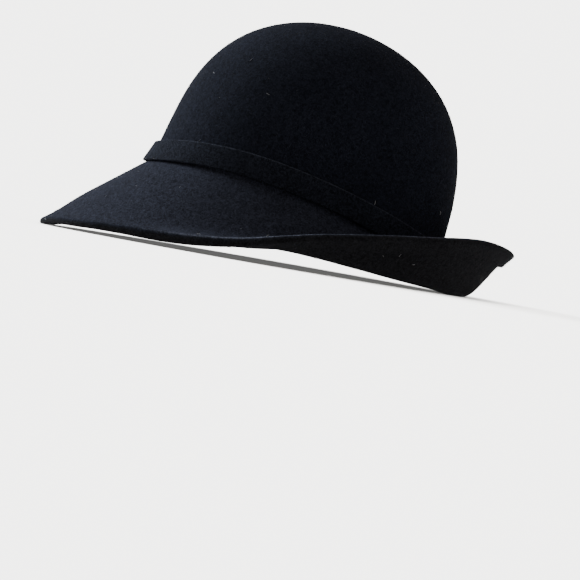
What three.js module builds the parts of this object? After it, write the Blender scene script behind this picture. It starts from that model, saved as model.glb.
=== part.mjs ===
// A wool-felt hat: a round crown, a brim snapped down in front and rolled up behind, and a felt band.
// Millimetres. +Z is up, the front looks along -Y and the wearer's left is +X.
// The hat rests on the front edge of its brim and on the fold behind, at z = 0.
import * as THREE from "three";

// ---- felt ----
const FELT = 2.5;
const FELT_COLOUR = 0x171a21;
const BAND_COLOUR = 0x13161c;

// ---- crown, measured outside, in the frame of the head line ----
const CROWN_LENGTH = 209.2;
const CROWN_WIDTH = 166;
const CROWN_HEIGHT = 131.4;
const SHOULDER_OUT = 2; // 2 is round, and more swells the dome's section towards its shoulder
const SHOULDER_UP = 3.5;
const TAPER = 0.083; // how much the walls lean in, as a share of the radius

// ---- head line: its height over the dome's foot in front, at the sides and behind ----
const HEAD_LINE = { front: 3, side: 9.9, back: -4.7 };

// ---- brim, by angle round the head from the front: all angles in degrees, the rest in millimetres ----
// fall: slope down from the crown; rise: slope after the bend; bendFrom, bendOver: where the bend is;
// flare: last turn up at the edge
const BRIM = [
  { at: 0, length: 88.5, fall: 47.5, rise: -53, bendFrom: 44.5, bendOver: 22, flare: 6.5 },
  { at: 25, length: 83.5, fall: 48.5, rise: -46, bendFrom: 50.5, bendOver: 22, flare: 4 },
  { at: 50, length: 75.5, fall: 47.5, rise: -43, bendFrom: 49, bendOver: 22, flare: 3.5 },
  { at: 75, length: 73, fall: 49.5, rise: -10.5, bendFrom: 41, bendOver: 24, flare: 4 },
  { at: 100, length: 71.5, fall: 46.5, rise: 40.5, bendFrom: 34, bendOver: 24, flare: 2.5 },
  { at: 125, length: 71.5, fall: 42.5, rise: 61, bendFrom: 25, bendOver: 22, flare: 0 },
  { at: 150, length: 72, fall: 33, rise: 67.5, bendFrom: 17.5, bendOver: 21, flare: -3.5 },
  { at: 180, length: 71, fall: 23, rise: 67.5, bendFrom: 14, bendOver: 26.5, flare: -10 },
];
const WALL_SLOPE = -88; // the crown's wall where it meets the brim
const BREAK = 4; // length of the turn from wall to brim
const FLARE = 16; // length of the flare before the edge

// ---- hem: the edge of the brim, turned under and pressed flat ----
const HEM = 10.5;
const HEM_STEP = 2; // length over which its cut edge rises

// ---- band ----
const BAND_HEIGHT = 15;
const BAND_THICKNESS = 2.5;
const BAND_CORNER = 0.9;
const BAND_LIFT = 0.6; // of its foot over the head line
const BAND_LAP = 1.2; // how far the foot's outer corner reaches down over the brim
const BAND_SLIP = 7.4; // how far past the head line its foot has slipped down the brim in front
const SLIP_REACH = 75; // degrees from the front where it sits in place again
const GAP = 0.3; // between crown and band

// ---- rest ----
const REST_TILT = 10.5; // degrees that the head line falls towards the back
const PRESSED = 0.9; // how far the felt is flattened where it stands

// ---- facets ----
const SIDES = 72;
const CROWN_ROWS = 12;
const BRIM_ROWS = 12;
const BRIM_CROWDING = 1.2; // over 1 sets the brim's rows closer to each other near the crown
const HEM_ROWS = 3;
const EDGE_TURNS = [60, 20, -20, -60]; // degrees round the rounded edge, from the brim's top to its underside

const radians = THREE.MathUtils.degToRad;
const smooth = (x) => THREE.MathUtils.smoothstep(x, 0, 1);

// A column of the brim table as a smooth even curve of the angle round the head.
function brimCurve(column) {
  const rows = BRIM.map((row) => ({ at: radians(row.at), value: row[column] }));
  const last = rows.length - 1;
  const slopes = rows.map((row, i) => {
    if (i === 0 || i === last) return 0;
    return (rows[i + 1].value - rows[i - 1].value) / (rows[i + 1].at - rows[i - 1].at);
  });
  return (angle) => {
    const turn = Math.abs(Math.atan2(Math.sin(angle), Math.cos(angle)));
    let i = 0;
    while (i < last - 1 && turn > rows[i + 1].at) i += 1;
    const span = rows[i + 1].at - rows[i].at;
    const x = (turn - rows[i].at) / span;
    const from = rows[i].value * (1 + 2 * x) * (1 - x) ** 2 + slopes[i] * span * x * (1 - x) ** 2;
    const to = rows[i + 1].value * (3 - 2 * x) * x ** 2 - slopes[i + 1] * span * (1 - x) * x ** 2;
    return from + to;
  };
}

const brimLength = brimCurve("length");
const brimFall = brimCurve("fall");
const brimRise = brimCurve("rise");
const bendFrom = brimCurve("bendFrom");
const bendOver = brimCurve("bendOver");
const brimFlare = brimCurve("flare");

function headLine(angle) {
  const c = Math.cos(angle);
  const towardsFront = (HEAD_LINE.front * (c * c + c)) / 2;
  const towardsBack = (HEAD_LINE.back * (c * c - c)) / 2;
  return HEAD_LINE.side * (1 - c * c) + towardsFront + towardsBack;
}

// A point of the dome at a height over its foot, with its skin moved out by a distance.
function domePoint(angle, height, out) {
  const level = Math.max(height, 0) / (CROWN_HEIGHT + out);
  const shoulder = (1 - Math.min(level, 1) ** SHOULDER_UP) ** (1 / SHOULDER_OUT);
  const reach = shoulder * (1 - TAPER * level);
  const x = (CROWN_WIDTH / 2 + out) * Math.sin(angle) * reach;
  const y = -(CROWN_LENGTH / 2 + out) * Math.cos(angle) * reach;
  return new THREE.Vector3(x, y, height);
}

// The level direction in which the brim leaves the crown.
function outwards(angle) {
  return new THREE.Vector3(CROWN_LENGTH * Math.sin(angle), -CROWN_WIDTH * Math.cos(angle), 0).normalize();
}

function brimSlope(angle, along) {
  const fall = -brimFall(angle);
  const atBreak = (fall - WALL_SLOPE) * smooth(along / BREAK);
  const atBend = (brimRise(angle) - fall) * smooth((along - bendFrom(angle)) / bendOver(angle));
  const atEdge = brimFlare(angle) * smooth((along - brimLength(angle) + FLARE) / FLARE);
  return radians(WALL_SLOPE + atBreak + atBend + atEdge);
}

// Points of the felt's middle from the head line to the edge, each with its slope.
function brimMiddle(angle, stations) {
  const STEP = 0.5;
  const root = domePoint(angle, headLine(angle), -FELT / 2);
  const away = outwards(angle);
  const points = [];
  let along = 0;
  let out = 0;
  let up = 0;
  for (const station of stations) {
    const steps = Math.ceil((station - along) / STEP);
    const length = (station - along) / steps;
    for (let i = 0; i < steps; i += 1) {
      const slope = brimSlope(angle, along + length / 2);
      out += length * Math.cos(slope);
      up += length * Math.sin(slope);
      along += length;
    }
    points.push({ root, away, out, up, along, slope: brimSlope(angle, along) });
  }
  return points;
}

// A point beside the felt's middle: lift along its normal and past along its slope.
function beside({ root, away, out, up, slope }, lift, past = 0) {
  const run = out - lift * Math.sin(slope) + past * Math.cos(slope);
  const rise = up + lift * Math.cos(slope) + past * Math.sin(slope);
  return root.clone().addScaledVector(away, run).add(new THREE.Vector3(0, 0, rise));
}

// One section of the hat, from the crown's top outside to the crown's top inside.
function hatSection(angle) {
  const start = headLine(angle);
  const domeRows = (out) => {
    const top = CROWN_HEIGHT + out;
    const low = Math.asin(start / top);
    const heights = [];
    for (let i = 1; i <= CROWN_ROWS; i += 1) {
      const rise = THREE.MathUtils.lerp(Math.PI / 2, low, i / CROWN_ROWS);
      heights.push(top * Math.sin(rise));
    }
    return heights.map((height) => domePoint(angle, height, out));
  };
  const length = brimLength(angle);
  const plain = length - HEM;
  const stations = [];
  for (let i = 1; i <= BRIM_ROWS; i += 1) stations.push(plain * (i / BRIM_ROWS) ** BRIM_CROWDING);
  for (let i = 1; i <= HEM_ROWS; i += 1) {
    stations.push(plain + HEM_STEP + ((HEM - HEM_STEP) * (i - 1)) / (HEM_ROWS - 1));
  }
  const middle = brimMiddle(angle, stations);
  const top = middle.map((point) => beside(point, FELT / 2));
  const under = middle.map((point) => {
    const folded = FELT * smooth((point.along - plain) / HEM_STEP);
    return beside(point, -FELT / 2 - folded);
  });
  const edge = EDGE_TURNS.map((turn) => {
    const lift = FELT * Math.sin(radians(turn)) - FELT / 2;
    return beside(middle.at(-1), lift, FELT * Math.cos(radians(turn)));
  });
  return [...domeRows(0), ...top, ...edge, ...under.reverse(), ...domeRows(-FELT).reverse()];
}

// The band's foot: in front on the brim, at the sides and behind on the crown's wall.
function bandFoot(angle) {
  const turn = Math.abs(Math.atan2(Math.sin(angle), Math.cos(angle)));
  const slipped = beside(brimMiddle(angle, [BAND_SLIP])[0], FELT / 2 + GAP);
  const inPlace = domePoint(angle, headLine(angle) + BAND_LIFT, GAP);
  return slipped.lerp(inPlace, smooth(turn / radians(SLIP_REACH)));
}

// One section of the band, round its own closed outline. It leans out where its foot has slipped.
function bandSection(angle) {
  const foot = bandFoot(angle);
  const head = domePoint(angle, foot.z + BAND_HEIGHT, GAP);
  const up = head.clone().sub(foot).normalize();
  const away = outwards(angle);
  const out = away.clone().multiplyScalar(up.z).add(new THREE.Vector3(0, 0, -up.dot(away)));
  const middle = head.clone().lerp(foot, 0.5);
  const bulge = domePoint(angle, middle.z, GAP).sub(middle).dot(out);
  middle.addScaledVector(out, Math.max(bulge, 0));
  const from = (point, outBy, upBy) => point.clone().addScaledVector(out, outBy).addScaledVector(up, upBy);
  return [
    head,
    from(head, BAND_THICKNESS - BAND_CORNER, 0),
    from(head, BAND_THICKNESS, -BAND_CORNER),
    from(middle, BAND_THICKNESS, 0),
    from(foot, BAND_THICKNESS, BAND_CORNER - BAND_LAP),
    from(foot, BAND_THICKNESS - BAND_CORNER, -BAND_LAP),
    foot,
    middle,
  ];
}

// Joins sections set round the head. An open section ends at two poles, and a closed one meets itself.
function wrap(section, poles) {
  const columns = [];
  for (let i = 0; i < SIDES; i += 1) columns.push(section((2 * Math.PI * i) / SIDES));
  const rows = columns[0].length;
  const points = [...columns.flat(), ...poles];
  const at = (column, row) => (column % SIDES) * rows + (row % rows);
  const faces = [];
  const bands = poles.length ? rows - 1 : rows;
  for (let i = 0; i < SIDES; i += 1) {
    for (let j = 0; j < bands; j += 1) {
      faces.push(at(i, j), at(i, j + 1), at(i + 1, j + 1));
      faces.push(at(i, j), at(i + 1, j + 1), at(i + 1, j));
    }
    if (poles.length) {
      faces.push(points.length - 2, at(i, 0), at(i + 1, 0));
      faces.push(points.length - 1, at(i + 1, rows - 1), at(i, rows - 1));
    }
  }
  return { points, faces };
}

function feltMesh(name, { points, faces }, colour) {
  const geometry = new THREE.BufferGeometry().setFromPoints(points);
  geometry.setIndex(faces);
  geometry.computeVertexNormals();
  const material = new THREE.MeshStandardMaterial({ color: colour, roughness: 0.95, metalness: 0 });
  const mesh = new THREE.Mesh(geometry, material);
  mesh.name = name;
  return mesh;
}

const topOutside = new THREE.Vector3(0, 0, CROWN_HEIGHT);
const topInside = new THREE.Vector3(0, 0, CROWN_HEIGHT - FELT);
const body = wrap(hatSection, [topOutside, topInside]);
const band = wrap(bandSection, []);

// Tilted to its rest, centred over the floor, and flattened where it stands.
const tilt = new THREE.Matrix4().makeRotationX(-radians(REST_TILT));
for (const point of [...body.points, ...band.points]) point.applyMatrix4(tilt);
const box = new THREE.Box3().setFromPoints(body.points);
const seat = new THREE.Vector3(0, -(box.min.y + box.max.y) / 2, -box.min.z - PRESSED);
for (const point of [...body.points, ...band.points]) {
  point.add(seat);
  point.z = Math.max(point.z, 0);
}

const hat = new THREE.Group();
hat.name = "hat";
hat.add(feltMesh("hat_body", body, FELT_COLOUR));
hat.add(feltMesh("hat_band", band, BAND_COLOUR));
export default hat;
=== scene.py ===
"""A navy-black wool-felt fedora with a round crown, built as an add-on and run as a script."""

import math

import bpy
import numpy as np
from mathutils import Matrix, Vector, noise


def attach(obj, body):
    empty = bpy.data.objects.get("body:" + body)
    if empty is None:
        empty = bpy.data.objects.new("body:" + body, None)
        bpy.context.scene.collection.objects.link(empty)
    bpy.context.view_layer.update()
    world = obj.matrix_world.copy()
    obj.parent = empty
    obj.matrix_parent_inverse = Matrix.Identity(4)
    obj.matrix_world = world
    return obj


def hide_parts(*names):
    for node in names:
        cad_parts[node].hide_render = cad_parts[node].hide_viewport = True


bl_info = {
    "name": "Felt Fedora",
    "version": (1, 0, 0),
    "blender": (4, 5, 0),
    "location": "View3D > Sidebar > Hat",
    "description": "Makes a round-crowned wool-felt fedora, its band, its nap and a plain studio",
    "category": "Add Mesh",
}

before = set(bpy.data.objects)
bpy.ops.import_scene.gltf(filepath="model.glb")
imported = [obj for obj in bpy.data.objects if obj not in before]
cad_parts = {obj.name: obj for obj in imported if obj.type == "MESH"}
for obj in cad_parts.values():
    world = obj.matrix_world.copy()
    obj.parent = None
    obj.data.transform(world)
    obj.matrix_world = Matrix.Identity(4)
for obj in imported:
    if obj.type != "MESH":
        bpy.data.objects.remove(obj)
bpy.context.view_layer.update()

MM = 0.001
NODE_SPACING = 190

# ---- felt, in millimetres; the hat stands in the frame of its head line before it is set down ----
# Powers of the dome's section, outwards and upwards, and how much it draws in towards the top.
SHOULDER_OUT = 2
SHOULDER_UP = 3.5
TAPER = 0.083
# Height over the dome's foot at which the crown ends and the brim starts.
HEAD_LINE = {"front": 3, "side": 9.9, "back": -4.7}
# The brim leaves the crown at the wall's slope, turns to its own fall within the break, and flares
# over its last stretch.
WALL_SLOPE = -88
BREAK = 4
FLARE = 16
# How far the hat leans back, in degrees, and is moved when it is set down.
REST_TILT = 10.5
REST_SHIFT = (0, 8.43, 36.72)

# The brim by angle round the head from the front. Angles are in degrees: fall is the slope down
# from the crown, rise the slope after the bend, and flare the last turn at the edge.
BRIM_COLUMNS = ("at", "length", "fall", "rise", "bend_from", "bend_over", "flare")
BRIM_ROWS = (
    (0, 88.5, 47.5, -53, 44.5, 22, 6.5),
    (25, 83.5, 48.5, -46, 50.5, 22, 4),
    (50, 75.5, 47.5, -43, 49, 22, 3.5),
    (75, 73, 49.5, -10.5, 41, 24, 4),
    (100, 71.5, 46.5, 40.5, 34, 24, 2.5),
    (125, 71.5, 42.5, 61, 25, 22, 0),
    (150, 72, 33, 67.5, 17.5, 21, -3.5),
    (180, 71, 23, 67.5, 14, 26.5, -10),
)

# ---- how finely the felt is drawn ----
COLUMNS = 288
CROWN_ROWS = 56
PLAIN_ROWS = 50
# The plain brim's rows lie closer together near the crown, by this power.
ROW_CROWDING = 1.2
# Rows over the hem's cut edge and the hem, counted from the cut edge, for a hem as wide as the last.
HEM_STATIONS = (-1.6, -0.9, -0.45, -0.15, 0.1, 0.35, 0.6, 0.9, 1.4, 2.4, 4, 6, 8, 9.4, 10.5)
# Rows round the brim's edge, in degrees from straight out, from its top to its underside.
EDGE_TURNS = (80, 68, 58, 48, 40, 30, 15, 0, -15, -30, -46, -62, -78)
# Longest step of the walk along the brim.
WALK = 0.5

# ---- hem: its cut edge, pressed into the felt, and the line that it presses into the top ----
CUT_RISE = 0.9
CUT_GROOVE = 0.35
CUT_GROOVE_WIDTH = 0.5
PRESS_LINE = 0.16
PRESS_WIDTH = 1.3

# ---- edge: squarer than round where the brim rolls up, and fuller at either side of the front ----
EDGE_ROUND = 2.0
EDGE_SQUARE = 2.7
# Where round the head, in degrees from the front, the brim starts to roll up, and how soon it has.
ROLL_START = 48
ROLL_REACH = 42
# Where the edge is fullest and how far round that reaches, in degrees, then how wide it is and how
# far it stands out above and below.
BEAD_AT = 61
BEAD_REACH = 24
BEAD_WIDTH = 6
BEAD_ABOVE = 1.7
BEAD_BELOW = 0.9

# ---- band: how far round from the front, in degrees, its foot has slipped down the brim ----
SLIP_REACH = 75

# ---- hand-blocked unevenness: depth and width of each swell ----
SWELLS = ((0.45, 62.0), (0.16, 17.0))

# ---- painted light, in rows past the top of the edge: the painted highlight follows the edge's uppermost row ----
UPPERMOST_FLAT = 0.5
UPPERMOST_ROLLED = 2.5
UPPERMOST_BEHIND = 2
# Where round the head, in degrees from the front, behind begins, and how soon it is all behind.
BEHIND_START = 90
BEHIND_REACH = 50
PAINTED_HIGHLIGHT_WIDTH = 1.6
# Painted light pales the brim's top to this many rows past the crest; painted shade darkens the
# underside from there, fading in over the second number of rows.
PAINTED_SPLIT = 2
PAINTED_SHADE_FADE = 4

# ---- felt's grain: widths in metres, the stretch of each noise that counts, and the least and most
# by which it shades the dye ----
CLOUD_WIDTH = 35 * MM
CLOUD_RANGE = (0.3, 0.7)
CLOUD_SHADES = (0.88, 1.12)
TUFT_MIDDLE = 0.5
TUFT_SHADES = (0.5, 1.62)
CURL_WIDTH = 1.1 * MM
CURL_RANGE = (0.56, 0.74)
CURL_SHADES = (1.0, 2.2)
# How deep the curled fibres stand beside the tufts, and how much the painted highlight shows even
# between tufts.
CURL_RELIEF = 0.5
HIGHLIGHT_BETWEEN_TUFTS = 0.4
# The cool bloom of a wool felt, barely there.
BLOOM = "#8a93a8"
BLOOM_WEIGHT = 0.01
# The body's wool is matted a little coarser, deeper and softer than the band's.
BODY_FELT = {"grain": 1.9 * MM, "fuzz_depth": 1.0 * MM, "softness": 0.14}
BAND_FELT = {"grain": 1.7 * MM, "fuzz_depth": 0.8 * MM, "softness": 0.09}
# Strength of the painted highlight along the band's top edge.
BAND_PAINTED_HIGHLIGHT = 0.25

# ---- loose fibres ----
WOOL_SEED = 7
LINT_SEED = 11
FIBRE_ROUGHNESS = 0.9
FIBRE_GLOSS = 0.1

# ---- floor, in metres ----
FLOOR_RADIUS = 40.0
FLOOR_SIDES = 96

# ---- light: a warm room, a cool key, and white over the floor; across is a sun's angle in degrees ----
ROOM_COLOUR = (1.0, 0.9, 0.82)
KEY_COLOUR = (0.97, 1.0, 1.04)
KEY_ACROSS = 32.0
KEY_FROM = (-0.436, -0.801, 0.41)
TOP_COLOUR = (1.0, 1.0, 1.0)
TOP_ACROSS = 100.0
TOP_FROM = (0.1, 0.1, 0.98)

# ---- camera: degrees that it rolls and looks down, and metres that it stands across and up ----
CAMERA_LEAN = 9.92
CAMERA_PITCH = 1.647
CAMERA_ACROSS = 0.01187
CAMERA_UP = 0.01616
CAMERA_CLIP = 200


def linear(code):
    """An sRGB hex code as linear red, green, blue and alpha."""
    channels = [int(code[i : i + 2], 16) / 255 for i in (1, 3, 5)]
    return (*(c / 12.92 if c <= 0.04045 else ((c + 0.055) / 1.055) ** 2.4 for c in channels), 1.0)


def smooth(x):
    """Rises gently from 0 to 1 as x does."""
    x = np.clip(x, 0, 1)
    return x * x * (3 - 2 * x)


def from_front(angle):
    """How far round the head from its front, either way, in radians."""
    return np.abs(np.arctan2(np.sin(angle), np.cos(angle)))


def brim_curve(column, angle):
    """A column of the brim table as a smooth even curve of the angle round the head."""
    at = np.radians([row[0] for row in BRIM_ROWS])
    value = np.array([row[BRIM_COLUMNS.index(column)] for row in BRIM_ROWS], float)
    slope = np.zeros(len(at))
    slope[1:-1] = (value[2:] - value[:-2]) / (at[2:] - at[:-2])
    turn = from_front(angle)
    i = np.clip(np.searchsorted(at, turn, side="right") - 1, 0, len(at) - 2)
    span = at[i + 1] - at[i]
    x = (turn - at[i]) / span
    start = value[i] * (1 + 2 * x) * (1 - x) ** 2 + slope[i] * span * x * (1 - x) ** 2
    end = value[i + 1] * (3 - 2 * x) * x**2 - slope[i + 1] * span * (1 - x) * x**2
    return start + end


def head_line(angle):
    """Height at which the crown gives way to the brim."""
    c = np.cos(angle)
    front = HEAD_LINE["front"] * (c * c + c) / 2
    back = HEAD_LINE["back"] * (c * c - c) / 2
    return HEAD_LINE["side"] * (1 - c * c) + front + back


def dome(size, angle, height, out):
    """Points of the dome at a height over its foot, with its skin moved out by a distance."""
    level = np.maximum(height, 0) / (size.crown_height / MM + out)
    reach = (1 - np.minimum(level, 1) ** SHOULDER_UP) ** (1 / SHOULDER_OUT) * (1 - TAPER * level)
    x = (size.crown_width / MM / 2 + out) * np.sin(angle) * reach
    y = -(size.crown_length / MM / 2 + out) * np.cos(angle) * reach
    return np.stack([x, y, height + 0 * angle], -1)


def away(size, angle):
    """The level direction in which the brim leaves the crown."""
    x = size.crown_length * np.sin(angle)
    y = -size.crown_width * np.cos(angle)
    run = np.stack([x, y, 0 * angle], -1)
    return run / np.linalg.norm(run, axis=-1, keepdims=True)


def brim_slope(angle, along):
    """The brim's slope, in radians, at a distance along it from the crown."""
    fall = -brim_curve("fall", angle)
    slope = WALL_SLOPE + (fall - WALL_SLOPE) * smooth(along / BREAK)
    bend = smooth((along - brim_curve("bend_from", angle)) / brim_curve("bend_over", angle))
    slope = slope + (brim_curve("rise", angle) - fall) * bend
    edge = smooth((along - brim_curve("length", angle) + FLARE) / FLARE)
    return np.radians(slope + brim_curve("flare", angle) * edge)


def brim_middle(angle, stations):
    """Run out, rise and slope of the felt's middle at each station, as arrays of rows by columns."""
    out, up, slopes = [], [], []
    along = np.zeros_like(angle)
    run = np.zeros_like(angle)
    rise = np.zeros_like(angle)
    for station in stations:
        steps = max(1, math.ceil(float(np.max(station - along)) / WALK))
        length = (station - along) / steps
        for _ in range(steps):
            slope = brim_slope(angle, along + length / 2)
            run = run + length * np.cos(slope)
            rise = rise + length * np.sin(slope)
            along = along + length
        out.append(run)
        up.append(rise)
        slopes.append(brim_slope(angle, along))
    return np.array(out), np.array(up), np.array(slopes)


def swell(points):
    """Hand-blocked unevenness at points in millimetres."""
    flat = points.reshape(-1, 3)
    depth = np.zeros(len(flat))
    for amount, width in SWELLS:
        depth += [amount * noise.noise(Vector(p / width)) for p in flat]
    return depth.reshape(points.shape[:-1])


def lean_back(directions):
    """Turns points or directions with the hat as it leans back to its rest."""
    return directions @ np.array(Matrix.Rotation(-math.radians(REST_TILT), 3, "X")).T


def set_down(points):
    """Leans the hat back, centres it over the floor and flattens it where it stands."""
    placed = lean_back(points) + REST_SHIFT
    placed[..., 2] = np.maximum(placed[..., 2], 0)
    return placed * MM


def crown_rows(size, angle, out):
    """Rows of the crown from its top to the head line, with its skin moved out by a distance."""
    top = size.crown_height / MM + out
    felt = size.felt / MM
    low = np.arcsin(head_line(angle) / top)
    share = np.arange(1, CROWN_ROWS + 1)[:, None] / CROWN_ROWS
    height = top * np.sin(math.pi / 2 + (low - math.pi / 2) * share)
    middle = dome(size, angle, height * (top - out - felt / 2) / top, -felt / 2)
    return dome(size, angle, height, out) + away(size, angle) * swell(middle)[..., None]


def painted_layers(rows, crest, turned, rolled):
    """How much painted highlight, painted light and painted shade the felt takes, from 0 to 1, by row
    and column.

    crest is the row at which the edge starts, turned the degrees round from the front, and rolled
    how far the brim has rolled up there."""
    row = np.arange(rows)[:, None] + np.zeros(COLUMNS)
    behind = smooth((turned - BEHIND_START) / BEHIND_REACH)
    uppermost = crest + UPPERMOST_FLAT + UPPERMOST_ROLLED * rolled + UPPERMOST_BEHIND * behind
    # Painted highlight on the uppermost row of the edge, where the brim rolls up.
    painted_highlight = np.exp(-(((row - uppermost) / PAINTED_HIGHLIGHT_WIDTH) ** 2)) * rolled
    # Painted light: the brim's top is painted paler than the crown.
    painted_light_top = ((row >= CROWN_ROWS) & (row < crest + PAINTED_SPLIT)).astype(float)
    # Painted shade over the edge's outer turn and the brim's underside.
    into_painted_shade = row - crest - PAINTED_SPLIT - PAINTED_SPLIT * rolled
    painted_shade = smooth(into_painted_shade / PAINTED_SHADE_FADE) * (row < rows - CROWN_ROWS)
    return {"painted_highlight": painted_highlight, "painted_light_top": painted_light_top, "painted_shade": painted_shade}


def felt_surface(size):
    """Rows of the felt from the crown's top outside, over the brim and its hem, to the top inside.

    Returns the points, rows by columns, and the layers of painted highlight, painted light and painted
    shade on them."""
    felt = size.felt / MM
    hem = size.hem / MM
    angle = np.linspace(0, 2 * math.pi, COLUMNS, endpoint=False)
    plain = brim_curve("length", angle) - hem
    share = (np.arange(1, PLAIN_ROWS + 1) / PLAIN_ROWS) ** ROW_CROWDING
    stations = [(plain + HEM_STATIONS[0]) * s for s in share]
    stations += [plain + s * (hem / HEM_STATIONS[-1] if s > 0 else 1) for s in HEM_STATIONS[1:]]
    out, up, slope = brim_middle(angle, stations)
    root = dome(size, angle, head_line(angle), -felt / 2)
    outward = away(size, angle)

    def beside(rows, lift, past=0.0):
        """Points of some rows of the brim, lifted off the felt's middle and moved on past it."""
        run = out[rows] - lift * np.sin(slope[rows]) + past * np.cos(slope[rows])
        rise = up[rows] + lift * np.cos(slope[rows]) + past * np.sin(slope[rows])
        points = root + outward * run[..., None]
        points[..., 2] += rise
        return points

    every = slice(None)
    last = slice(-1, None)
    uneven = swell(beside(every, 0.0))
    inside_hem = np.array(stations) - plain
    ridge = PRESS_LINE * np.exp(-((inside_hem / PRESS_WIDTH) ** 2))
    groove = CUT_GROOVE * np.exp(-((inside_hem / CUT_GROOVE_WIDTH) ** 2)) * (inside_hem <= 0)
    fold = felt * smooth(inside_hem / CUT_RISE)
    turned = np.degrees(from_front(angle))
    beside_front = np.exp(-(((turned - BEAD_AT) / BEAD_REACH) ** 2))
    full = beside_front * np.exp(-(((hem - inside_hem) / BEAD_WIDTH) ** 2))
    top = beside(every, felt / 2 + uneven + ridge + BEAD_ABOVE * full)
    under = beside(every, uneven - felt / 2 + groove - fold - BEAD_BELOW * full)

    rolled = smooth((turned - ROLL_START) / ROLL_REACH)
    square = EDGE_ROUND + (EDGE_SQUARE - EDGE_ROUND) * rolled
    edge = []
    for turn in np.radians(EDGE_TURNS):
        out_by = felt * math.cos(turn) ** (2 / square)
        up_by = math.copysign(1, turn) * abs(math.sin(turn)) ** (2 / square)
        bead = BEAD_ABOVE if turn > 0 else BEAD_BELOW
        lift = (felt + bead * full[-1:]) * up_by - felt / 2 + uneven[-1:]
        edge.append(beside(last, lift, out_by))

    outside = crown_rows(size, angle, 0)
    inside = crown_rows(size, angle, -felt)
    points = np.concatenate([outside, top, *edge, under[::-1], inside[::-1]])
    return points, painted_layers(len(points), CROWN_ROWS + len(top), turned, rolled)


def band_line(size, band, angle):
    """The band's middle line on the felt, and the direction in which the band faces along it."""
    felt = size.felt / MM
    height = band.height / MM
    start = head_line(angle)
    outward = away(size, angle)
    run, drop, slope = brim_middle(angle, [np.full_like(angle, band.slip / MM)])
    # In front its foot has slipped down the top of the brim; further round it stays on the crown.
    slipped_out = run[0] - np.sin(slope[0]) * felt / 2
    slipped = dome(size, angle, start, -felt / 2) + outward * slipped_out[:, None]
    slipped[:, 2] += drop[0] + np.cos(slope[0]) * felt / 2
    in_place = dome(size, angle, start + band.lift / MM, 0)
    share = smooth(from_front(angle) / math.radians(SLIP_REACH))[:, None]
    foot = slipped + (in_place - slipped) * share
    head = dome(size, angle, foot[:, 2] + height, 0)
    up = (head - foot) / np.linalg.norm(head - foot, axis=-1, keepdims=True)
    faces = outward * up[:, 2:] - [[0, 0, 1]] * np.sum(up * outward, -1, keepdims=True)
    middle = (head + foot) / 2
    # The strip bows out over the dome's swell between its foot and its head.
    bulge = np.sum((dome(size, angle, middle[:, 2], 0) - middle) * faces, -1)
    lift = np.maximum(bulge, 0) + swell(middle - faces * felt / 2)
    return middle + faces * lift[:, None], faces


def wrap(name, points, poles, layers):
    """A closed mesh of rows set round the head, with a pole at each end and layers of values on it."""
    rows, columns = points.shape[:2]
    grid = np.arange(rows * columns).reshape(rows, columns)
    beside = np.roll(grid, -1, axis=1)
    quads = np.stack([grid[:-1], grid[1:], beside[1:], beside[:-1]], -1).reshape(-1, 4).tolist()
    first, last = rows * columns, rows * columns + 1
    caps = [(first, a, b) for a, b in zip(grid[0].tolist(), beside[0].tolist())]
    caps += [(last, b, a) for a, b in zip(grid[-1].tolist(), beside[-1].tolist())]
    mesh = bpy.data.meshes.new(name)
    mesh.from_pydata(np.vstack([points.reshape(-1, 3), poles]).tolist(), [], quads + caps)
    at_poles = [0.0, 0.0]
    for key, value in layers.items():
        layer = mesh.attributes.new(key, "FLOAT", "POINT")
        layer.data.foreach_set("value", np.append(value.ravel(), at_poles).astype(np.float32))
    mesh.shade_smooth()
    mesh.validate()
    return mesh


def put(name, mesh):
    """An object of its own for a mesh, at the origin."""
    piece = bpy.data.objects.new(name, mesh)
    bpy.context.scene.collection.objects.link(piece)
    return piece


def add(tree, kind, settings=None, inputs=None):
    """Adds a node with its settings, and fills or links its inputs."""
    node = tree.nodes.new(kind)
    node.location.x = NODE_SPACING * len(tree.nodes)
    for key, value in (settings or {}).items():
        setattr(node, key, value)
    for key, value in (inputs or {}).items():
        if isinstance(value, bpy.types.NodeSocket):
            tree.links.new(value, node.inputs[key])
        else:
            node.inputs[key].default_value = value
    return node


def maths(tree, operation, *values):
    """One operation on values and sockets."""
    node = add(tree, "ShaderNodeMath", {"operation": operation}, dict(enumerate(values)))
    return node.outputs[0]


def remap(tree, value, low, high, least, most):
    """Stretches a value's range from low to high into one from least to most, and stops there."""
    node = add(
        tree,
        "ShaderNodeMapRange",
        inputs={"Value": value, "From Min": low, "From Max": high, "To Min": least, "To Max": most},
    )
    return node.outputs[0]


def new_tree(name, sockets):
    """A Geometry Nodes tree with named inputs. sockets are (name, kind, default)."""
    tree = bpy.data.node_groups.new(name, "GeometryNodeTree")
    tree.interface.new_socket("Geometry", in_out="INPUT", socket_type="NodeSocketGeometry")
    tree.interface.new_socket("Geometry", in_out="OUTPUT", socket_type="NodeSocketGeometry")
    for label, kind, default in sockets:
        socket = tree.interface.new_socket(label, in_out="INPUT", socket_type="NodeSocket" + kind)
        if default is not None:
            socket.default_value = default
    return tree


def grow(tree, source, name, values):
    """Runs a tree on a source object and returns the result as a plain piece of its own."""
    modifier = source.modifiers.new(tree.name, "NODES")
    modifier.node_group = tree
    for item in tree.interface.items_tree:
        if item.in_out == "INPUT" and item.name in values:
            modifier[item.identifier] = values[item.name]
    source.update_tag()
    bpy.context.view_layer.update()
    graph = bpy.context.evaluated_depsgraph_get()
    mesh = bpy.data.meshes.new_from_object(source.evaluated_get(graph))
    source.modifiers.remove(modifier)
    mesh.name = name
    return put(name, mesh)


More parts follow.
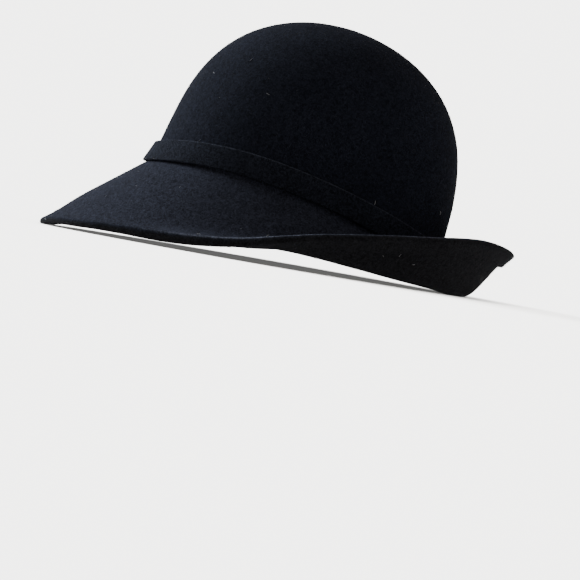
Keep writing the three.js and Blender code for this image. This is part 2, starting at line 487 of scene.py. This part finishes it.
def fibre_tree():
    """Short bent fibres scattered over a surface, lying on it."""
    tree = new_tree(
        "scattered_fibres",
        [
            ("Density", "Float", 1000.0),
            ("Shortest", "Float", 0.001),
            ("Longest", "Float", 0.003),
            ("Thickness", "Float", 0.05),
            ("Lean", "Float", 0.4),
            ("Seed", "Int", 1),
            ("Material", "Material", None),
        ],
    )
    given = add(tree, "NodeGroupInput").outputs
    spread = add(
        tree,
        "GeometryNodeDistributePointsOnFaces",
        {"distribute_method": "RANDOM"},
        {"Mesh": given["Geometry"], "Density": given["Density"], "Seed": given["Seed"]},
    )
    # A strand one unit long, bent sideways and lifted off the felt in its middle.
    arc = add(
        tree,
        "GeometryNodeCurveQuadraticBezier",
        inputs={
            "Resolution": 3,
            "Start": (-0.5, 0, -0.04),
            "Middle": (0.05, 0.28, 0.22),
            "End": (0.5, 0, 0.08),
        },
    )
    ring = add(
        tree,
        "GeometryNodeCurvePrimitiveCircle",
        {"mode": "RADIUS"},
        {"Resolution": 3, "Radius": given["Thickness"]},
    )
    strand = add(
        tree,
        "GeometryNodeCurveToMesh",
        inputs={
            "Curve": arc.outputs["Curve"],
            "Profile Curve": ring.outputs["Curve"],
            "Fill Caps": True,
        },
    )
    length = add(
        tree,
        "FunctionNodeRandomValue",
        {"data_type": "FLOAT"},
        {2: given["Shortest"], 3: given["Longest"], "Seed": given["Seed"]},
    )
    least = maths(tree, "MULTIPLY", given["Lean"], -1.0)
    most = given["Lean"]
    low = add(tree, "ShaderNodeCombineXYZ", inputs={"X": least, "Y": least, "Z": 0.0})
    high = add(tree, "ShaderNodeCombineXYZ", inputs={"X": most, "Y": most, "Z": 2 * math.pi})
    turn = add(
        tree,
        "FunctionNodeRandomValue",
        {"data_type": "FLOAT_VECTOR"},
        {0: low.outputs[0], 1: high.outputs[0], "Seed": given["Seed"]},
    )
    laid = add(
        tree,
        "GeometryNodeInstanceOnPoints",
        inputs={
            "Points": spread.outputs["Points"],
            "Instance": strand.outputs["Mesh"],
            "Rotation": spread.outputs["Rotation"],
            "Scale": length.outputs[1],
        },
    )
    turned = add(
        tree,
        "GeometryNodeRotateInstances",
        inputs={"Instances": laid.outputs[0], "Rotation": turn.outputs[0], "Local Space": True},
    )
    real = add(tree, "GeometryNodeRealizeInstances", inputs={"Geometry": turned.outputs[0]})
    done = add(
        tree,
        "GeometryNodeSetMaterial",
        inputs={"Geometry": real.outputs[0], "Material": given["Material"]},
    )
    add(tree, "NodeGroupOutput", inputs={"Geometry": done.outputs[0]})
    return tree


def strip_tree():
    """A strip of felt swept along a line that lies on the crown, with rounded edges."""
    tree = new_tree(
        "felt_strip",
        [
            ("Height", "Float", 0.015),
            ("Thickness", "Float", 0.0025),
            ("Gap", "Float", 0.0003),
            ("Lap", "Float", 0.0012),
            ("Corner", "Float", 0.0009),
            ("Material", "Material", None),
        ],
    )
    given = add(tree, "NodeGroupInput").outputs
    line = add(tree, "GeometryNodeMeshToCurve", inputs={"Mesh": given["Geometry"]})
    normal = add(
        tree, "GeometryNodeInputNamedAttribute", {"data_type": "FLOAT_VECTOR"}, {"Name": "outward"}
    )
    path = add(
        tree,
        "GeometryNodeSetCurveNormal",
        {"mode": "FREE"},
        {"Curve": line.outputs["Curve"], "Normal": normal.outputs["Attribute"]},
    )
    skin = maths(tree, "ADD", given["Gap"], given["Thickness"])
    half = maths(tree, "MULTIPLY", given["Height"], 0.5)
    foot = maths(tree, "MULTIPLY", given["Height"], -0.5)
    toe = maths(tree, "SUBTRACT", foot, given["Lap"])
    corners = {}
    for out, up in ((given["Gap"], half), (skin, half), (skin, toe), (given["Gap"], foot)):
        corner = add(tree, "ShaderNodeCombineXYZ", inputs={"X": out, "Y": up})
        corners[f"Point {len(corners) + 1}"] = corner.outputs[0]
    outline = add(tree, "GeometryNodeCurvePrimitiveQuadrilateral", {"mode": "POINTS"}, corners)
    rounded = add(
        tree,
        "GeometryNodeFilletCurve",
        {"mode": "POLY"},
        {"Curve": outline.outputs["Curve"], "Count": 4, "Radius": given["Corner"]},
    )
    place = add(tree, "GeometryNodeInputPosition")
    level = add(tree, "ShaderNodeSeparateXYZ", inputs={0: place.outputs[0]})
    shoulder = maths(tree, "SUBTRACT", half, given["Corner"])
    # A painted highlight along the strip's top edge, kept as a layer for its material.
    highlight_share = remap(tree, level.outputs["Y"], shoulder, half, 0.0, BAND_PAINTED_HIGHLIGHT)
    marked = add(
        tree,
        "GeometryNodeStoreNamedAttribute",
        {"data_type": "FLOAT", "domain": "POINT"},
        {"Geometry": rounded.outputs["Curve"], "Name": "painted_highlight", "Value": highlight_share},
    )
    swept = add(
        tree,
        "GeometryNodeCurveToMesh",
        inputs={
            "Curve": path.outputs["Curve"],
            "Profile Curve": marked.outputs["Geometry"],
            "Fill Caps": True,
        },
    )
    soft = add(tree, "GeometryNodeSetShadeSmooth", inputs={"Geometry": swept.outputs["Mesh"]})
    real = add(tree, "GeometryNodeRealizeInstances", inputs={"Geometry": soft.outputs["Geometry"]})
    done = add(
        tree,
        "GeometryNodeSetMaterial",
        inputs={"Geometry": real.outputs[0], "Material": given["Material"]},
    )
    add(tree, "NodeGroupOutput", inputs={"Geometry": done.outputs[0]})
    return tree


def wool_noise(tree, place, width, settings):
    """A noise pattern of a given width, in metres."""
    inputs = {"Vector": place, "Scale": 1 / width, **settings}
    return add(tree, "ShaderNodeTexNoise", inputs=inputs).outputs[0]


def painted_layer(tree, name):
    """One of the layers that are kept on the felt's points."""
    return add(tree, "ShaderNodeAttribute", {"attribute_name": name}).outputs["Fac"]


def tint(tree, share, first, second):
    """A colour that gives way to a second one by a share."""
    mix = add(tree, "ShaderNodeMix", {"data_type": "RGBA"}, {0: share, 6: first, 7: second})
    return mix.outputs[2]


def felt_material(name, colour, painted_light_top, painted_shade, painted_highlight_colour, grain, fuzz_depth, softness):
    """Wool felt, fulled and brushed: no weave, a mottled matted surface, and a faint bloom at a glance.

    grain is the width of its tufts, fuzz_depth the depth of its relief, and softness how gently one
    tuft shades into the next."""
    material = bpy.data.materials.new(name)
    material.use_nodes = True
    tree = material.node_tree
    tree.nodes.clear()
    place = add(tree, "ShaderNodeTexCoord").outputs["Object"]
    # Clouds of nap laid one way or the other by the hand that brushed it.
    cloud = wool_noise(tree, place, CLOUD_WIDTH, {"Detail": 2.0, "Roughness": 0.5})
    # Tufts of matted wool.
    tuft = wool_noise(tree, place, grain, {"Detail": 2.0, "Roughness": 0.6, "Distortion": 1.5})
    # Single curled fibres, drawn 0.3 mm wide so that they show.
    curl = wool_noise(tree, place, CURL_WIDTH, {"Detail": 3.0, "Distortion": 4.0})
    shade = remap(tree, cloud, *CLOUD_RANGE, *CLOUD_SHADES)
    mottle = remap(tree, tuft, TUFT_MIDDLE - softness, TUFT_MIDDLE + softness, *TUFT_SHADES)
    fleck = remap(tree, curl, *CURL_RANGE, *CURL_SHADES)
    tone = maths(tree, "MULTIPLY", maths(tree, "MULTIPLY", shade, mottle), fleck)
    # Painted light pales the brim's top, painted shade darkens its underside, and a painted highlight
    # lightens the uppermost row of the edge.
    dye = tint(tree, painted_layer(tree, "painted_light_top"), linear(colour), linear(painted_light_top))
    dye = tint(tree, painted_layer(tree, "painted_shade"), dye, linear(painted_shade))
    # The painted highlight shows most on the tufts.
    catch = maths(tree, "ADD", tuft, HIGHLIGHT_BETWEEN_TUFTS)
    highlight_share = maths(tree, "MULTIPLY", painted_layer(tree, "painted_highlight"), catch)
    dye = tint(tree, highlight_share, dye, linear(painted_highlight_colour))
    dyed = add(tree, "ShaderNodeVectorMath", {"operation": "SCALE"}, {0: dye, "Scale": tone})
    relief = maths(tree, "MULTIPLY_ADD", curl, CURL_RELIEF, tuft)
    bump = add(
        tree,
        "ShaderNodeBump",
        inputs={"Strength": 1.0, "Distance": fuzz_depth, "Height": relief},
    )
    felt = add(
        tree,
        "ShaderNodeBsdfPrincipled",
        inputs={
            "Base Color": dyed.outputs[0],
            "Roughness": 0.95,
            "IOR": 1.45,
            "Specular IOR Level": 0.02,
            "Sheen Weight": BLOOM_WEIGHT,
            "Sheen Roughness": 0.5,
            "Sheen Tint": linear(BLOOM),
            "Normal": bump.outputs["Normal"],
        },
    )
    add(tree, "ShaderNodeOutputMaterial", inputs={"Surface": felt.outputs["BSDF"]})
    return material


def plain_material(name, colour, roughness, specular):
    """One even colour, for fibres finer than any pattern on them and for the paper floor."""
    material = bpy.data.materials.new(name)
    material.use_nodes = True
    shader = material.node_tree.nodes["Principled BSDF"]
    shader.inputs["Base Color"].default_value = linear(colour)
    shader.inputs["Roughness"].default_value = roughness
    shader.inputs["Specular IOR Level"].default_value = specular
    return material


def paper_floor(colour, glow):
    """A wide disc of pale matt paper, which gives off a little light of its own."""
    ring = [
        (FLOOR_RADIUS * math.cos(a), FLOOR_RADIUS * math.sin(a), 0.0)
        for a in np.linspace(0, 2 * math.pi, FLOOR_SIDES, endpoint=False)
    ]
    mesh = bpy.data.meshes.new("floor")
    mesh.from_pydata(ring, [], [list(range(FLOOR_SIDES))])
    floor = put("floor", mesh)
    # An even pale ground without gloss, on which a shadow stays soft and grey.
    paper = plain_material("matt_paper", colour, roughness=1.0, specular=0.0)
    shader = paper.node_tree.nodes["Principled BSDF"]
    shader.inputs["Emission Color"].default_value = linear(colour)
    shader.inputs["Emission Strength"].default_value = glow
    mesh.materials.append(paper)
    # The paper under a dark hat takes its own soft light, and doesn't throw it back up at the felt.
    floor.visible_diffuse = False
    return floor


def shine(name, strength, colour, across, come_from, only):
    """A soft sun from a direction, on one collection alone if it is given.

    Returns the light that a level floor takes from it."""
    data = bpy.data.lights.new(name, "SUN")
    data.energy = strength
    data.angle = math.radians(across)
    data.color = colour
    lamp = put(name, data)
    toward = Vector(come_from).normalized()
    lamp.rotation_mode = "QUATERNION"
    lamp.rotation_quaternion = toward.to_track_quat("Z", "Y")
    if only:
        lamp.light_linking.receiver_collection = only
    return np.array(colour) * strength * toward.z / math.pi


def surround(scene, fill, shown):
    """Even light of the room from all round, in front of a plain backdrop of the colour shown."""
    world = bpy.data.worlds.new("room")
    world.use_nodes = True
    tree = world.node_tree
    tree.nodes.clear()
    path = add(tree, "ShaderNodeLightPath")
    room = add(tree, "ShaderNodeBackground", inputs={"Color": (*ROOM_COLOUR, 1), "Strength": fill})
    backdrop = add(tree, "ShaderNodeBackground", inputs={"Color": shown, "Strength": 1.0})
    seen = add(
        tree,
        "ShaderNodeMixShader",
        inputs={0: path.outputs["Is Camera Ray"], 1: room.outputs[0], 2: backdrop.outputs[0]},
    )
    add(tree, "ShaderNodeOutputWorld", inputs={"Surface": seen.outputs[0]})
    scene.world = world


def aim_camera(scene, distance, lens):
    """A camera on the hat's left, low over the floor, rolled so that the hat leans as when worn."""
    lean = math.radians(CAMERA_LEAN)
    pitch = math.radians(CAMERA_PITCH)
    right = Vector((0, math.cos(lean), math.sin(lean)))
    up = Vector((0, -math.sin(lean), math.cos(lean)))
    back = Vector((1, 0, 0))
    eye = back * distance + right * CAMERA_ACROSS + up * CAMERA_UP
    behind = back * math.cos(pitch) + up * math.sin(pitch)
    above = up * math.cos(pitch) - back * math.sin(pitch)
    turn = Matrix((right, above, behind)).transposed()
    data = bpy.data.cameras.new("camera")
    data.lens = lens
    data.clip_end = CAMERA_CLIP
    camera = put("camera", data)
    camera.matrix_world = Matrix.Translation(eye) @ turn.to_4x4()
    scene.camera = camera


class HatSizes(bpy.types.PropertyGroup):
    """Sizes of the felt body."""

    crown_length: bpy.props.FloatProperty(
        name="Crown Length",
        description="Front to back at the foot of the dome",
        default=0.2092,
        unit="LENGTH",
    )
    crown_width: bpy.props.FloatProperty(
        name="Crown Width",
        description="Side to side at the foot of the dome",
        default=0.166,
        unit="LENGTH",
    )
    crown_height: bpy.props.FloatProperty(
        name="Crown Height",
        description="From the dome's foot to its top",
        default=0.1314,
        unit="LENGTH",
    )
    felt: bpy.props.FloatProperty(
        name="Felt", description="Thickness of the felt", default=0.0025, unit="LENGTH"
    )
    hem: bpy.props.FloatProperty(
        name="Hem", description="Width of the edge that is turned under", default=0.0105, unit="LENGTH"
    )


class BandSizes(bpy.types.PropertyGroup):
    """Sizes of the felt band."""

    height: bpy.props.FloatProperty(
        name="Height", description="Height of the strip", default=0.015, unit="LENGTH"
    )
    thickness: bpy.props.FloatProperty(
        name="Thickness", description="Thickness of the strip", default=0.0025, unit="LENGTH"
    )
    lift: bpy.props.FloatProperty(
        name="Lift", description="Height of its foot over the head line", default=0.0006, unit="LENGTH"
    )
    lap: bpy.props.FloatProperty(
        name="Lap",
        description="How far its outer foot reaches over the brim",
        default=0.0012,
        unit="LENGTH",
    )
    slip: bpy.props.FloatProperty(
        name="Slip",
        description="How far its foot has slipped down the brim in front",
        default=0.0074,
        unit="LENGTH",
    )
    gap: bpy.props.FloatProperty(
        name="Gap", description="Space between the strip and the crown", default=0.0003, unit="LENGTH"
    )
    corner: bpy.props.FloatProperty(
        name="Corner", description="Radius of its long edges", default=0.0009, unit="LENGTH"
    )
    seam: bpy.props.FloatProperty(
        name="Seam", description="Space between its two ends behind", default=0.0003, unit="LENGTH"
    )


class NapSizes(bpy.types.PropertyGroup):
    """Loose fibres on the felt."""

    density: bpy.props.FloatProperty(
        name="Density", description="Fibres on each square metre", default=24000.0
    )
    shortest: bpy.props.FloatProperty(
        name="Shortest", description="Length of the shortest fibre", default=0.0012, unit="LENGTH"
    )
    longest: bpy.props.FloatProperty(
        name="Longest", description="Length of the longest fibre", default=0.003, unit="LENGTH"
    )
    thickness: bpy.props.FloatProperty(
        name="Thickness", description="Radius of a fibre as a share of its length", default=0.022
    )
    lean: bpy.props.FloatProperty(
        name="Lean",
        description="Most that a fibre leans off the surface",
        default=0.35,
        subtype="ANGLE",
    )
    lint_density: bpy.props.FloatProperty(
        name="Lint", description="Pale lint fibres on each square metre", default=420.0
    )
    lint_shortest: bpy.props.FloatProperty(
        name="Shortest Lint", description="Length of the shortest lint", default=0.0008, unit="LENGTH"
    )
    lint_longest: bpy.props.FloatProperty(
        name="Longest Lint", description="Length of the longest lint", default=0.0032, unit="LENGTH"
    )
    lint_thickness: bpy.props.FloatProperty(
        name="Lint Thickness", description="Radius of lint as a share of its length", default=0.05
    )


class HatColours(bpy.types.PropertyGroup):
    """Colours of the felts."""

    body: bpy.props.StringProperty(
        name="Body", description="Hex colour of the body felt", default="#13161e"
    )
    # The brim's top is painted paler than the body: painted light.
    brim: bpy.props.StringProperty(
        name="Brim", description="Hex colour of the brim's brushed top", default="#1e212a"
    )
    # The brim's underside is painted darker than the body: painted shade.
    under: bpy.props.StringProperty(
        name="Under", description="Hex colour of the brim's underside", default="#151619"
    )
    band: bpy.props.StringProperty(
        name="Band", description="Hex colour of the band felt", default="#15181f"
    )
    # Colour of the painted highlight on the uppermost row of the brim's edge and on the band's top
    # edge.
    painted_highlight_colour: bpy.props.StringProperty(
        name="Worn", description="Hex colour where edges rub", default="#4a4f5c"
    )
    fibre: bpy.props.StringProperty(
        name="Fibre", description="Hex colour of loose fibres", default="#262a33"
    )
    lint: bpy.props.StringProperty(name="Lint", description="Hex colour of lint", default="#83868c")
    floor: bpy.props.StringProperty(
        name="Floor", description="Hex colour of the floor", default="#e9e9e7"
    )


class StudioSettings(bpy.types.PropertyGroup):
    """Light and camera."""

    key: bpy.props.FloatProperty(name="Key", description="Strength of the key light", default=9.6)
    top: bpy.props.FloatProperty(
        name="Top", description="Strength of the light on the floor", default=12.0
    )
    glow: bpy.props.FloatProperty(
        name="Glow", description="Light that comes through the floor's paper from below", default=0.16
    )
    fill: bpy.props.FloatProperty(name="Fill", description="Brightness of the room", default=0.72)
    distance: bpy.props.FloatProperty(
        name="Distance", description="From the camera to the hat's middle", default=1.2, unit="LENGTH"
    )
    lens: bpy.props.FloatProperty(
        name="Lens", description="Focal length", default=107.9, subtype="DISTANCE_CAMERA"
    )


class HAT_OT_body(bpy.types.Operator):
    """Make the felt body: crown, brim and folded hem in one piece"""

    bl_idname = "hat.body"
    bl_label = "Felt Body"

    def execute(self, context):
        scene = context.scene
        size = scene.hat_sizes
        # nap holds the painted highlight, painted light and painted shade layers of the felt.
        points, nap = felt_surface(size)
        felt = size.felt / MM
        top = size.crown_height / MM
        poles = np.array([[0, 0, top], [0, 0, top - felt]], float)
        mesh = wrap("felt_body", set_down(points), set_down(poles), nap)
        piece = put("felt_body", mesh)
        colours = scene.hat_colours
        # Deep navy-black felt, matt and softly mottled; the brim's top is painted paler as painted
        # light, its underside darker as painted shade, and its edge carries a painted highlight.
        look = felt_material(
            "wool_felt_navy_black",
            colours.body,
            colours.brim,
            colours.under,
            colours.painted_highlight_colour,
            **BODY_FELT,
        )
        piece.data.materials.append(look)
        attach(piece, "root")
        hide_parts("hat_body")
        return {"FINISHED"}


class HAT_OT_band(bpy.types.Operator):
    """Make the felt band round the foot of the crown"""

    bl_idname = "hat.band"
    bl_label = "Felt Band"

    def execute(self, context):
        scene = context.scene
        size = scene.hat_sizes
        band = scene.band_sizes
        half_seam = band.seam / size.crown_length
        angle = np.linspace(3 * math.pi - half_seam, math.pi + half_seam, COLUMNS + 1)
        line, outward = band_line(size, band, angle)
        mesh = bpy.data.meshes.new("band_line")
        edges = [(i, i + 1) for i in range(len(angle) - 1)]
        mesh.from_pydata(set_down(line).tolist(), edges, [])
        layer = mesh.attributes.new("outward", "FLOAT_VECTOR", "POINT")
        layer.data.foreach_set("vector", lean_back(outward).astype(np.float32).ravel())
        source = put("band_line", mesh)
        colours = scene.hat_colours
        # The same felt cut as a strip: one even dye all over, with a crisper grain and a painted
        # highlight along its top edge.
        dye = colours.band
        look = felt_material("wool_felt_band", dye, dye, dye, colours.painted_highlight_colour, **BAND_FELT)
        values = {
            "Height": band.height,
            "Thickness": band.thickness,
            "Gap": band.gap,
            "Lap": band.lap,
            "Corner": band.corner,
            "Material": look,
        }
        piece = grow(strip_tree(), source, "felt_band", values)
        bpy.data.objects.remove(source)
        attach(piece, "root")
        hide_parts("hat_band")
        return {"FINISHED"}


class HAT_OT_nap(bpy.types.Operator):
    """Scatter loose wool fibres and a little pale lint over the felt"""

    bl_idname = "hat.nap"
    bl_label = "Nap and Lint"

    def execute(self, context):
        scene = context.scene
        nap = scene.nap_sizes
        colours = scene.hat_colours
        body = bpy.data.objects["felt_body"]
        tree = fibre_tree()
        # Dull hairs a shade paler than the felt, which roughen its outline and catch the key light.
        wool = plain_material("loose_wool_fibre", colours.fibre, FIBRE_ROUGHNESS, FIBRE_GLOSS)
        # Grey dust and thread ends, a few pale specks on the dark.
        pale = plain_material("pale_lint", colours.lint, FIBRE_ROUGHNESS, FIBRE_GLOSS)
        kinds = {
            "loose_fibres": {
                "Density": nap.density,
                "Shortest": nap.shortest,
                "Longest": nap.longest,
                "Thickness": nap.thickness,
                "Lean": nap.lean,
                "Seed": WOOL_SEED,
                "Material": wool,
            },
            "lint_fibres": {
                "Density": nap.lint_density,
                "Shortest": nap.lint_shortest,
                "Longest": nap.lint_longest,
                "Thickness": nap.lint_thickness,
                "Lean": nap.lean,
                "Seed": LINT_SEED,
                "Material": pale,
            },
        }
        for name, values in kinds.items():
            piece = grow(tree, body, name, values)
            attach(piece, "root")
        return {"FINISHED"}


class HAT_OT_studio(bpy.types.Operator):
    """Set the pale floor, the soft light and the camera"""

    bl_idname = "hat.studio"
    bl_label = "Studio"

    def execute(self, context):
        scene = context.scene
        studio = scene.studio_settings
        colour = scene.hat_colours.floor
        floor = paper_floor(colour, studio.glow)
        paper_only = bpy.data.collections.new("paper_only")
        paper_only.objects.link(floor)
        on_floor = np.array(ROOM_COLOUR) * studio.fill + studio.glow
        on_floor += shine("key", studio.key, KEY_COLOUR, KEY_ACROSS, KEY_FROM, None)
        on_floor += shine("top", studio.top, TOP_COLOUR, TOP_ACROSS, TOP_FROM, paper_only)
        # Past its edge the paper seems to go on, because the backdrop has the colour of the lit floor.
        shown = (*(on_floor * linear(colour)[:3]).tolist(), 1)
        surround(scene, studio.fill, shown)
        aim_camera(scene, studio.distance, studio.lens)
        return {"FINISHED"}


class HAT_PT_panel(bpy.types.Panel):
    """Lists the hat's sizes, colours and pieces."""

    bl_idname = "HAT_PT_panel"
    bl_label = "Felt Fedora"
    bl_space_type = "VIEW_3D"
    bl_region_type = "UI"
    bl_category = "Hat"

    def draw(self, context):
        for group, operators in PANEL_ROWS:
            box = self.layout.box()
            settings = getattr(context.scene, group)
            for key in settings.bl_rna.properties.keys():
                if key not in ("rna_type", "name"):
                    box.prop(settings, key)
            for operator in operators:
                box.operator(operator)


GROUPS = {
    "hat_sizes": HatSizes,
    "band_sizes": BandSizes,
    "nap_sizes": NapSizes,
    "hat_colours": HatColours,
    "studio_settings": StudioSettings,
}
PANEL_ROWS = (
    ("hat_sizes", ("hat.body",)),
    ("band_sizes", ("hat.band",)),
    ("nap_sizes", ("hat.nap",)),
    ("hat_colours", ()),
    ("studio_settings", ("hat.studio",)),
)
OPERATORS = (HAT_OT_body, HAT_OT_band, HAT_OT_nap, HAT_OT_studio)


def register():
    for kind in (*GROUPS.values(), *OPERATORS, HAT_PT_panel):
        bpy.utils.register_class(kind)
    for key, kind in GROUPS.items():
        setattr(bpy.types.Scene, key, bpy.props.PointerProperty(type=kind))


def unregister():
    for key in GROUPS:
        delattr(bpy.types.Scene, key)
    for kind in (HAT_PT_panel, *OPERATORS, *GROUPS.values()):
        bpy.utils.unregister_class(kind)


def main():
    """Makes every piece in order."""
    register()
    bpy.ops.hat.body()
    bpy.ops.hat.band()
    bpy.ops.hat.nap()
    bpy.ops.hat.studio()


if __name__ == "__main__":
    main()
